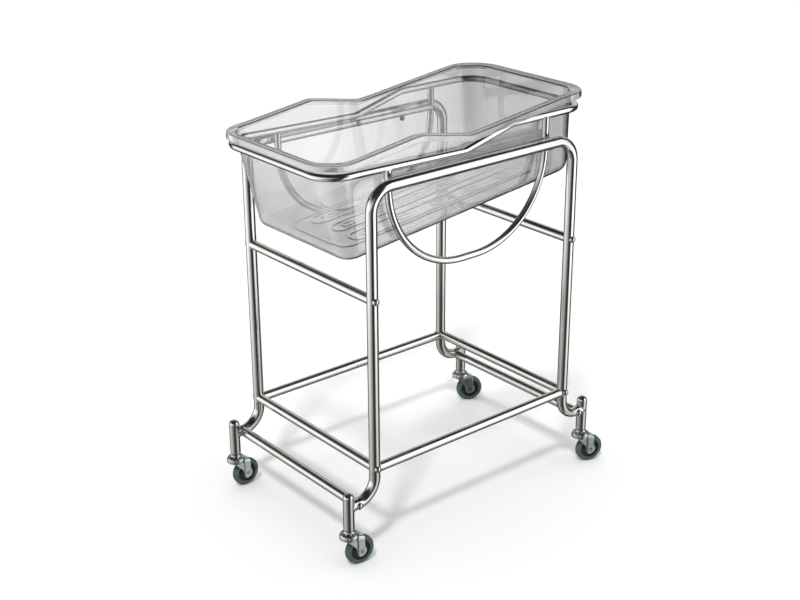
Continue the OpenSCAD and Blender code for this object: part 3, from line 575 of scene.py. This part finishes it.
def build_cradle(steel, bead, zinc, black):
    """Ring, arcs, side bars, their welds, and the tilt lock."""
    ring = rod(ring_line(), CRADLE_R, side=Z, closed=True)
    make("rim_ring_tube", [ring], steel, "cradle", ["rim_ring"])
    corners = [(ARC_FOOT_X, RING_LOW_Z - ARC_INSET), (ARC_FOOT_X, ARC_BOTTOM_Z),
               (ARC_HEAD_X, ARC_BOTTOM_Z), (ARC_HEAD_X, RING_HIGH_Z - ARC_INSET)]
    weld_r = CRADLE_R - WELD_INSET
    for side, sign in SIDES:
        y = sign * ARC_Y
        tube = rod(upright_line(corners, (ARC_BEND_R, ARC_BEND_R), y, 40), CRADLE_R)
        make(f"side_arc_tube_{side}", [tube], steel, "cradle", [f"side_arc_{side}"])
        run = np.array([at(ARC_FOOT_X + BAR_INSET, y, TOP_BAR_Z), at(ARC_HEAD_X - BAR_INSET, y, TOP_BAR_Z)])
        make(f"side_bar_tube_{side}", [rod(run, CRADLE_R)], steel, "cradle",
             [f"side_bar_{side}"])
        beads = [weld(weld_r, CRADLE_R, at(x, y, TOP_BAR_Z), inward * X, Z, 1.2)
                 for x, inward in ((ARC_FOOT_X, 1), (ARC_HEAD_X, -1))]
        beads += [weld(weld_r, CRADLE_R, at(x, sign * (RING_Y + ARC_Y) / 2, z), -Z, X, 1.2)
                  for x, z in ((ARC_FOOT_X, RING_POST_Z), (ARC_HEAD_X, RING_HIGH_Z))]
        make(f"cradle_welds_{side}", beads, bead, "cradle")
    boss = filleted([(0, 3.2), (5.6, 3.2), (5.6, -4.5), (0, -4.5)], (1.2, 0.6), 4)
    lever = [lever_plate(), lathe(boss, at(LOCK_X, ARC_Y, LEVER_Z), Z, 32)]
    make("lock_lever_plate", lever, zinc, "lock", ["lock_lever"])
    low_z = KNOB_TOP_Z - KNOB_H
    knob = filleted([(0, KNOB_TOP_Z), (KNOB_R - 1, KNOB_TOP_Z), (KNOB_R, KNOB_TOP_Z - KNOB_H / 2),
                     (KNOB_R - 0.8, low_z), (0, low_z)], (1.2, 6, 1.5), 5)
    grip = lathe(knob, at(LOCK_X, ARC_Y, 0), Z, 36)
    make("lock_knob_grip", [grip], black, "lock", ["lock_knob"])


def straight(a, b, n):
    """The n - 1 points that cut the way from a to b into n equal steps."""
    return a + (b - a) * (np.arange(1, n) / n)[:, None]


def outline(sizes):
    """A tub outline seen from above, anticlockwise from the middle of the head left corner: corners are arcs,
    sides and ends are straight."""
    foot, head, half, foot_r, head_r = sizes
    head_left = arc((head - head_r, half - head_r), head_r, 0, 90, CORNER_STEPS)
    foot_left = arc((foot + foot_r, half - foot_r), foot_r, 90, 180, CORNER_STEPS)
    foot_right = arc((foot + foot_r, foot_r - half), foot_r, 180, 270, CORNER_STEPS)
    head_right = arc((head - head_r, head_r - half), head_r, 270, 360, CORNER_STEPS)
    ring = np.vstack([head_left, straight(head_left[-1], foot_left[0], SIDE_STEPS),
                      foot_left, straight(foot_left[-1], foot_right[0], END_STEPS),
                      foot_right, straight(foot_right[-1], head_right[0], SIDE_STEPS),
                      head_right, straight(head_right[-1], head_left[0], END_STEPS)])
    return np.roll(ring, -(CORNER_STEPS // 2), 0)


def rim_height(x):
    """The rim's height: straight runs between its four points, averaged over 28 mm to round each of them."""
    around = np.linspace(-14, 14, 15)
    return np.interp(x[..., None] + around, *zip(*RIM_LINE)).mean(-1)


def floor_height(x):
    """The underside's height, rising evenly towards the head end."""
    return FLOOR_Z + x * FLOOR_SLOPE


def ridge(x, y, mid_x, mid_y, half_length, half_width, corner_r, reach=5.5):
    """How much of a rib stands at a point: 1 on the outline of a rounded rectangle, falling as a cosine of
    the distance to it, to 0 at reach."""
    past_x = np.abs(x - mid_x) - (half_length - corner_r)
    past_y = np.abs(y - mid_y) - (half_width - corner_r)
    inside = np.minimum(np.maximum(past_x, past_y), 0)
    gap = np.hypot(np.maximum(past_x, 0), np.maximum(past_y, 0)) + inside - corner_r
    return 0.5 + 0.5 * np.cos(np.pi * np.clip(np.abs(gap) / reach, 0, 1))


def floor_relief(x, y):
    """The embossed ribs: a border and three long loops, 1 mm high, and in each loop lower small ovals."""
    ribs = [ridge(x, y, 16, 0, 285.5, 102.5, 32)]
    for mid_y in (-70, 0, 70):
        ribs.append(ridge(x, y, 24.5, mid_y, 250, 21.5, 21))
        ribs += [0.7 * ridge(x, y, mid_x, mid_y, 17, 9, 8.8, 4.5) for mid_x in (-179, -79, 21, 121, 221)]
    return np.max(ribs, 0)


def tub_floor(edge):
    """The floor's inner face, a grid stretched between the four lines of its edge. With left, right, head
    and foot those lines, a point is (1-v) left + v right + (1-u) head + u foot, less the same mix of the
    four corners."""
    side_n, end_n = SIDE_STEPS + CORNER_STEPS, END_STEPS + CORNER_STEPS
    left, foot = edge[:side_n + 1], edge[side_n:side_n + end_n + 1]
    right = edge[side_n + end_n:2 * side_n + end_n + 1][::-1]
    head = np.vstack([edge[2 * side_n + end_n:], edge[:1]])[::-1]
    u = np.linspace(0, 1, side_n + 1)[:, None, None]
    v = np.linspace(0, 1, end_n + 1)[None, :, None]
    patch = ((1 - v) * left[:, None] + v * right[:, None] + (1 - u) * head[None] + u * foot[None]
             - (1 - u) * (1 - v) * left[0] - u * (1 - v) * left[-1]
             - (1 - u) * v * right[0] - u * v * right[-1])
    x, y = patch[..., 0], patch[..., 1]
    return np.stack([x, y, floor_height(x) + TUB_T + floor_relief(x, y)], -1)


def rim_grooves(s):
    """Depth of the two shallow grooves at a share s of the way across the flange: two bell curves."""
    return GROOVE_DEPTH * sum(math.exp(-((s - middle) / GROOVE_W) ** 2) for middle in GROOVES)


def tub_loops(inner_low, inner_r):
    """The loops of the tub's wall, one after the other up the inside, over the flange and down the rolled
    lip, then back under the flange, down the outside and in to the flat underside."""
    loops = []

    def add(sizes, height):
        """One loop: an outline of these sizes, lifted to height(x)."""
        points = outline(sizes)
        loops.append(np.column_stack([points, height(points[:, 0])]))

    inner_top = WALL_TOP - TUB_T * GROWN
    for t in np.linspace(0, 1, 9)[1:]:
        a = math.pi / 2 * t
        add(inner_low - inner_r * (1 - math.sin(a)) * GROWN,
            lambda x: floor_height(x) + TUB_T + inner_r * (1 - math.cos(a)))
    for t in np.linspace(1, 0, 9)[1:]:
        add(inner_top + (inner_low - inner_top) * t,
            lambda x: (rim_height(x) - INNER_EDGE_R - 0.5) * (1 - t) + (floor_height(x) + FLOOR_ROUND_R) * t)
    # Over the inner edge, across the flange, down its rolled outer edge and round the lip
    for grow, rise in arc((1.0, INNER_EDGE_R), INNER_EDGE_R, 180, 90, 5):
        add(WALL_TOP + grow * GROWN, lambda x: rim_height(x) - (2 * INNER_EDGE_R - rise))
    inner_edge, outer_edge = WALL_TOP + GROWN, RIM_OUT - OUTER_EDGE_R * GROWN
    across = np.linspace(0, 1, 24)[1:-1]
    for s in across:
        add(inner_edge + (outer_edge - inner_edge) * s, lambda x: rim_height(x) - rim_grooves(s))
    for grow, rise in arc((-OUTER_EDGE_R, OUTER_EDGE_R), OUTER_EDGE_R, 90, 0, 6):
        add(RIM_OUT + grow * GROWN, lambda x: rim_height(x) - (2 * OUTER_EDGE_R - rise))
    for grow, drop in arc((-LIP_EDGE_R, LIP_DEPTH - LIP_EDGE_R), LIP_EDGE_R, 0, 180, 6):
        add(RIM_OUT + grow * GROWN, lambda x: rim_height(x) - drop)
    # Up inside the lip, back under the flange, down the outer face and round to the underside
    for grow, rise in arc((-OUTER_EDGE_R, OUTER_EDGE_R), OUTER_EDGE_R - TUB_T, 0, 90, 3):
        add(RIM_OUT + grow * GROWN, lambda x: rim_height(x) - (2 * OUTER_EDGE_R - rise))
    for s in across[::-1]:
        add(inner_edge + (outer_edge - inner_edge) * s, lambda x: rim_height(x) - TUB_T - rim_grooves(s))
    add(WALL_TOP, lambda x: rim_height(x) - TUB_T - 1)
    for t in np.linspace(0, 1, 9)[1:]:
        add(WALL_TOP + (WALL_LOW - WALL_TOP) * t,
            lambda x: (rim_height(x) - TUB_T - 1) * (1 - t) + (floor_height(x) + FLOOR_ROUND_R) * t)
    for t in np.linspace(0, 1, 10)[1:]:
        a = math.pi / 2 * t
        add(WALL_LOW - FLOOR_ROUND_R * (1 - math.cos(a)) * GROWN,
            lambda x: floor_height(x) + FLOOR_ROUND_R * (1 - math.sin(a)))
    return loops


def build_tub(plastic):
    """One closed wall: the inner floor, the loops that start at its border, and the flat underside."""
    inner_low, inner_r = WALL_LOW - TUB_T * GROWN, FLOOR_ROUND_R - TUB_T
    floor = tub_floor(outline(inner_low - inner_r * GROWN))
    loops = tub_loops(inner_low, inner_r)
    rows, cols = floor.shape[:2]
    count = rows * cols
    index = np.arange(count).reshape(rows, cols)
    border = np.concatenate([index[:, 0], index[-1, 1:], index[::-1, -1][1:], index[0, ::-1][1:-1]])
    n = len(border)
    rings = np.concatenate([border[None], count + np.arange(len(loops) * n).reshape(len(loops), n)])
    after = np.roll(rings, -1, 1)
    wall = np.stack([rings[1:], after[1:], after[:-1], rings[:-1]], -1).reshape(-1, 4)
    points = np.vstack([floor.reshape(-1, 3)] + loops)
    faces = [grid_faces(rows, cols, wrap_cols=False), wall, rings[-1][::-1][None]]
    make("clear_tub", [(points, faces, points[:, 2])], plastic, "tub", ["tub"], sharp=50.0)


def turned(shell, turn, x, y):
    """A shell drawn about its swivel axis, turned by that many degrees and moved out to its post."""
    points, faces, run = shell
    a = math.radians(turn)
    spin = np.array([[math.cos(a), -math.sin(a), 0], [math.sin(a), math.cos(a), 0], [0, 0, 1]])
    return points @ spin.T + np.array([x, y, 0]), faces, run


def fork_sheet():
    """The pressed fork, a sheet bent over the wheel. Low on a leg it is as wide as a circle round the axle,
    then widens forwards up to the housing. The part of a leg round the axle stands slightly proud, and the
    fork's top falls away towards the wheel."""
    y, top, bend_r = FORK_IN + FORK_T / 2, CROWN_Z + FORK_T / 2, 5.0
    widening, front_end, leg_back = 34.0, -15.5, 8.2
    low = np.column_stack([np.full(15, y), WHEEL_R - FORK_LEG_R * np.sin(np.radians(np.linspace(88, 0, 15)))])
    leg = np.column_stack([np.full(14, y), np.linspace(WHEEL_R, top - bend_r, 16)[1:-1]])
    bend = arc((y - bend_r, top - bend_r), bend_r, 0, 90, 8)
    crown = np.column_stack([np.linspace(y - bend_r, 0, 5)[1:], np.full(4, top)])
    half = np.vstack([low, leg, bend, crown])
    path = np.vstack([half, (half[:-1] * [-1, 1])[::-1]])
    z = path[:, 1]
    plate = np.sqrt(np.maximum(FORK_LEG_R ** 2 - np.minimum(z - WHEEL_R, FORK_LEG_R * 0.8) ** 2, 0.01))
    front = TRAIL - plate - widening * np.maximum(z - WHEEL_R - 3, 0) / (CROWN_Z - 4 - WHEEL_R)
    front = np.maximum(np.minimum(front, TRAIL - FORK_LEG_R * 0.6), front_end)
    back = TRAIL + np.maximum(plate, np.where(z > WHEEL_R, leg_back, 0))

    def proud(p):
        """How far the sheet stands out at a point: 1.2 mm round the axle, 0 in front of it and at the top."""
        return 1.2 * smooth_step(14.0, 16.0, p[..., 0]) * (1 - smooth_step(68, 74, p[..., 2]))

    line = np.column_stack([np.zeros(len(path)), path])
    points, faces, _ = strip(line, X, front, back, FORK_T, proud, 36)
    points = points.copy()
    points[:, 2] -= 7.0 * smooth_step(8, 38, points[:, 0]) * smooth_step(56, 76, points[:, 2])
    return points, faces, points[:, 2]


def dimpled(shell):
    """Three pressed dimples on the front of a housing: each pushes the metal in along (outward, up) by a
    bell curve of the distance to its middle."""
    points, faces, run = shell
    points = points.copy()
    for turn, r, z in DIMPLES:
        a = math.radians(turn)
        push = unit(np.array([math.cos(a), math.sin(a), 0.8]))
        gap = np.linalg.norm(points - np.array([r * math.cos(a), r * math.sin(a), z]), axis=1)
        points -= DIMPLE_DEPTH * np.exp(-(gap / DIMPLE_R) ** 2)[:, None] * push
    return points, faces, run


def housing_profile():
    """The swivel housing from its top over the dome and down round its open lower edge, closed off inside."""
    dome = filleted([(5, SWIVEL_TOP_Z - 0.3), (11.5, SWIVEL_TOP_Z - 0.3), (13.5, 87.5), (20.0, 82.5),
                     (22.0, 79.0), (22.0, 72.0)], (1.0, 3.0, 3.0, 2.5), 6)
    edge = [(21.6, 71.2), (20.4, 71.2), (20.0, 72.0), (19.6, 76.0), (0, 76.0)]
    return np.vstack([[(0, SWIVEL_TOP_Z - 0.3)], spaced(dome, 1.2), edge])


def tyre_profile():
    """The tyre's section, a closed ring: flat bore, flat sides, rounded shoulders."""
    w = WHEEL_W / 2
    corners = [(TYRE_IN_R, 0), (TYRE_IN_R, w - 1.2), (TYRE_IN_R + 2, w), (WHEEL_R - 4.5, w),
               (WHEEL_R, w - 5.5), (WHEEL_R, 5.5 - w), (WHEEL_R - 4.5, -w), (TYRE_IN_R + 2, -w),
               (TYRE_IN_R, 1.2 - w), (TYRE_IN_R, 0)]
    return filleted(corners, (1.0, 1.2, 2.2, 2.6, 2.6, 2.2, 1.2, 1.0), 6)[1:]


def hub_profile():
    """The hub from one face to the other: boss, thin web, rim inside the tyre, the same both ways."""
    w = WHEEL_W / 2
    half = filleted([(0, 10.2), (9.5, 10.2), (10.0, 4.2), (21.0, 3.2), (22.0, w - 2.0), (TYRE_IN_R, w - 1.6),
                     (TYRE_IN_R, 0)], (0.8, 1.6, 1.6, 0.8, 0.4), 5)
    return np.vstack([half, (half[:-1] * [1, -1])[::-1]])


def build_casters(sheet, zinc, dark_steel, rubber, hub_plastic):
    """Each caster: collar, domed housing with its pressed fork, rivet axle, hub and tyre."""
    collar = filleted([(0, POST_BOTTOM_Z + 3), (9.0, POST_BOTTOM_Z + 3), (9.0, SWIVEL_TOP_Z),
                       (0, SWIVEL_TOP_Z)], (0.5, 0.8), 4)
    rivet_rim = filleted([(2.2, -0.7), (2.6, 0.9), (3.6, 0.7), (3.9, -1.2)], (0.4, 0.5), 4)[1:]
    rivet = np.vstack([[(0, -0.9), (2.2, -0.7)], rivet_rim, [(0, -1.2)]])
    housing, tyre, hub = housing_profile(), tyre_profile(), hub_profile()
    axle_end = FORK_IN + FORK_T + 1.2
    for corner, end, side, turn in CASTERS:
        def put(shell):
            """The shell at this caster's post and swivel angle."""
            return turned(shell, turn, end * POST_X, side * LEG_Y)

        swivel, wheel, axle = f"swivel_{corner}", f"wheel_{corner}", at(TRAIL, 0, WHEEL_R)
        make(f"post_collar_{corner}", [put(lathe(collar, at(0, 0, 0)))], zinc, "stand",
             [f"socket_{corner}"])
        fork = [put(dimpled(lathe(housing, at(0, 0, 0), sides=112))), put(fork_sheet())]
        make(f"caster_fork_{corner}", fork, sheet, swivel, [f"fork_{corner}"])
        # The axle ends and pin take the near-black steel: painted shade for the axle's dimple
        ends = [put(lathe(rivet, axle + way * axle_end * Y, way * Y, 32)) for way in (-1, 1)]
        pin = put(rod(np.array([axle - 12 * Y, axle + 12 * Y]), 4.0, side=Z, sides=24))
        make(f"axle_rivet_{corner}", ends + [pin], dark_steel, swivel, [f"axle_{corner}"])
        make(f"wheel_hub_{corner}", [put(lathe(hub, axle, Y, 72))], hub_plastic, wheel,
             [f"hub_{corner}"])
        make(f"wheel_tyre_{corner}", [put(lathe(tyre, axle, Y, 96, closed=True))], rubber, wheel,
             [f"tyre_{corner}"])


def facing(right, up, back, place=(0, 0, 0)):
    """The matrix of a lamp or camera that stands at place and looks along -back."""
    return Matrix([[*row, p] for row, p in zip(np.stack([right, up, back], 1), place)] + [[0, 0, 0, 1]])


def pale_floor():
    """Dull white that takes the shadows, with a faint glow to the camera, also through the plastic. Rays that
    metal has mirrored pass through it to the world below the horizon, and near the stand see mostly a dim
    grey instead: painted shade, which darkens the floor that the metal mirrors close to the stand."""
    floor = Finish("pale_floor", Roughness=1.0, Specular_IOR_Level=0.0)
    floor.shader.inputs["Base Color"].default_value = (0.93, 0.93, 0.93, 1)
    floor.shader.inputs["Emission Color"].default_value = (1, 1, 1, 1)
    path = floor.light_path()
    seen = floor.math("MAXIMUM", path["Is Camera Ray"], path["Is Transmission Ray"])
    floor.link(floor.times(seen, 0.115), floor.shader.inputs["Emission Strength"])
    away = floor.nodes.new("ShaderNodeVectorMath")
    away.operation = "LENGTH"
    floor.link(floor.place, away.inputs[0])
    # Painted shade near the stand, seen only in mirrored rays: strongest within 0.2 m of the middle, gone by
    # 2 m
    shade = floor.spread(away.outputs["Value"], 0.72, 0.0, 0.2, 2.0)
    clear = floor.nodes.new("ShaderNodeBsdfTransparent")
    painted_floor_shade = floor.nodes.new("ShaderNodeEmission")
    painted_floor_shade.inputs["Color"].default_value = (0.055, 0.054, 0.045, 1)
    below = floor.mix_shaders(shade, clear.outputs[0], painted_floor_shade.outputs[0])
    mirrored = floor.math("SUBTRACT", path["Is Glossy Ray"], path["Is Transmission Ray"])
    floor.link(floor.mix_shaders(mirrored, floor.shader.outputs[0], below), floor.surface)
    return floor.material


def build_floor(reach=40.0):
    """The floor under the casters, far wider than the view."""
    corners = [(-reach, -reach, 0), (reach, -reach, 0), (reach, reach, 0), (-reach, reach, 0)]
    mesh = bpy.data.meshes.new("studio_floor")
    mesh.from_pydata(corners, [], [(0, 1, 2, 3)])
    floor = bpy.data.objects.new("studio_floor", mesh)
    bpy.context.scene.collection.objects.link(floor)
    mesh.materials.append(pale_floor())


def build_lamp():
    """One soft lamp high behind the camera and a little to its left, for the shadow on the floor. It isn't
    mirrored."""
    lamp = bpy.data.lights.new("high_soft_lamp", "SUN")
    lamp.energy, lamp.angle = 1.35, math.radians(7.0)
    holder = bpy.data.objects.new("high_soft_lamp", lamp)
    bpy.context.scene.collection.objects.link(holder)
    towards = unit(np.array([-120.0, -92.0, 219.0]))
    side = unit(np.cross(Z, towards))
    holder.matrix_world = facing(side, np.cross(towards, side), towards)
    holder.visible_glossy = False


def build_world():
    """The world: white to the camera, also through the plastic; to dull surfaces a light mostly from
    overhead; in mirrored rays soft boxes at the left, at the right and behind, dark gaps between them and a
    dark ceiling."""
    world = bpy.data.worlds.new("studio")
    bpy.context.scene.world = world
    world.use_nodes = True
    g = Graph(world.node_tree)
    degrees = 180 / math.pi

    def ramp(value, low, high):
        """0 below low, 1 above high, and smooth between them."""
        return g.spread(value, 0.0, 1.0, low, high, smooth=True)

    def between(value, low, high, soft_low, soft_high):
        """1 from low to high, fading over soft_low and soft_high degrees either side of them."""
        rise = ramp(value, low - soft_low, low + soft_low)
        fall = ramp(g.times(value, -1.0), -high - soft_high, -high + soft_high)
        return g.times(rise, fall)

    def less(value):
        """What is left of 1 without the value."""
        return g.math("SUBTRACT", 1.0, value)

    # Turn is measured from the studio's front, anticlockwise seen from above, and height above the horizon
    rx, ry, rz = g.split(g.nodes.new("ShaderNodeTexCoord").outputs["Generated"])
    flat = g.math("MAXIMUM", g.math("SQRT", g.math("ADD", g.times(rx, rx), g.times(ry, ry))), 1e-4)
    height = g.times(g.math("ARCTAN2", rz, flat), degrees)
    front = math.radians(-129.5)
    ahead = g.math("ADD", g.times(rx, math.cos(front)), g.times(ry, math.sin(front)))
    aside = g.math("SUBTRACT", g.times(ry, math.cos(front)), g.times(rx, math.sin(front)))
    turn = g.times(g.math("ARCTAN2", aside, ahead), degrees)

    upper_turn = g.math("SUBTRACT", turn, g.times(ramp(height, -12, 8), 22.0))
    left_box = g.times(ramp(turn, -128, -104), less(ramp(upper_turn, -86, 12)))
    left_box = g.times(left_box, less(ramp(height, 8, 40)))
    right_low = g.times(between(turn, 42, 94, 8, 7), between(height, -100, 0, 3, 6))
    right_high = g.times(between(turn, 60, 104, 8, 10), between(height, 0, 44, 6, 5))
    right_box = g.math("MAXIMUM", right_low, right_high)
    lower_part = g.times(between(height, 4, 31, 4, 3), 0.4)
    back_level = g.math("ADD", lower_part, g.times(between(height, 4, 43, 4, 4), 0.15))
    back_box = g.times(ramp(g.math("ABSOLUTE", turn), 125, 155), back_level)
    boxes = g.math("MAXIMUM", g.math("MAXIMUM", left_box, right_box), back_box)
    bright_middle = g.times(between(turn, 58, 84, 6, 6), between(height, -34, 34, 6, 6))
    boxes = g.math("ADD", boxes, g.times(bright_middle, 0.4))
    in_mirror = g.math("ADD", g.times(boxes, 1.2), 0.02)
    overhead = g.math("ADD", g.times(g.math("POWER", g.math("MAXIMUM", rz, 0.0), 4.0), 1.6), 0.13)

    path = g.light_path()
    mirrored = g.math("MINIMUM", path["Glossy Depth"], 1.0)
    through = g.times(path["Is Transmission Ray"], less(mirrored))
    white = g.math("MAXIMUM", path["Is Camera Ray"], through)
    sharp = g.math("MAXIMUM", path["Is Glossy Ray"], path["Is Transmission Ray"])
    pattern = g.times(mirrored, sharp)
    level = g.math("ADD", g.times(pattern, in_mirror), g.times(less(pattern), overhead))
    level = g.math("ADD", white, g.times(less(white), level))
    background = g.nodes["Background"]
    g.link(level, background.inputs["Strength"])
    background.inputs["Color"].default_value = (1, 1, 1, 1)


def build_camera():
    """The photograph's view: the camera's place, turn and focal length, solved from the photograph."""
    turn, tilt, roll = math.radians(-39.50), math.radians(22.61), math.radians(-0.31)
    aim, distance = np.array([78.0 + SHIFT_X, 134.0, 404.5]), 3424.1
    focal_px, width_px, sensor_mm = 1378.27, 800, 36.0
    back = np.array([math.sin(turn) * math.cos(tilt), -math.cos(turn) * math.cos(tilt), math.sin(tilt)])
    level = unit(np.cross(-back, Z))
    over = np.cross(level, -back)
    right, up = math.cos(roll) * level + math.sin(roll) * over, math.cos(roll) * over - math.sin(roll) * level
    data = bpy.data.cameras.new("photo_camera")
    data.sensor_width, data.lens = sensor_mm, focal_px * sensor_mm / width_px
    data.clip_start, data.clip_end = 0.05, 200.0
    camera = bpy.data.objects.new("photo_camera", data)
    bpy.context.scene.collection.objects.link(camera)
    camera.matrix_world = facing(right, up, back, (aim + back * distance) / 1000)
    bpy.context.scene.camera = camera


steel, bead = polished_stainless(), weld_bead()
bolt_zinc, sheet_zinc = bright_zinc(), pressed_zinc()
black = dark_moulding("black_plastic", (0.012, 0.012, 0.014), (0.03, 0.03, 0.033))
hub_plastic = dark_moulding("dark_green_plastic", (0.008, 0.022, 0.019), (0.02, 0.042, 0.037))
build_camera()
build_floor()
build_lamp()
build_world()
build_side_frames(steel, bead)
build_crossbars(steel, bolt_zinc)
build_posts(steel)
build_cradle(steel, bead, bolt_zinc, black)
build_tub(clear_plastic())
build_casters(sheet_zinc, bolt_zinc, dimple_shade_steel(), grey_green_rubber(), hub_plastic)

# The CAD nodes that stay as they are, with their finish
carried = {"pivot_bolt_right": bolt_zinc, "pivot_bolt_left": bolt_zinc, "pivot_spacers": black,
           "lock_spindle": bolt_zinc}
carried.update({f"stem_{corner}": bolt_zinc for corner, *_ in CASTERS})
for node, material in carried.items():
    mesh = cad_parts[node].data
    mesh.materials.clear()
    mesh.materials.append(material)

bpy.context.scene.view_settings.view_transform = "Standard"
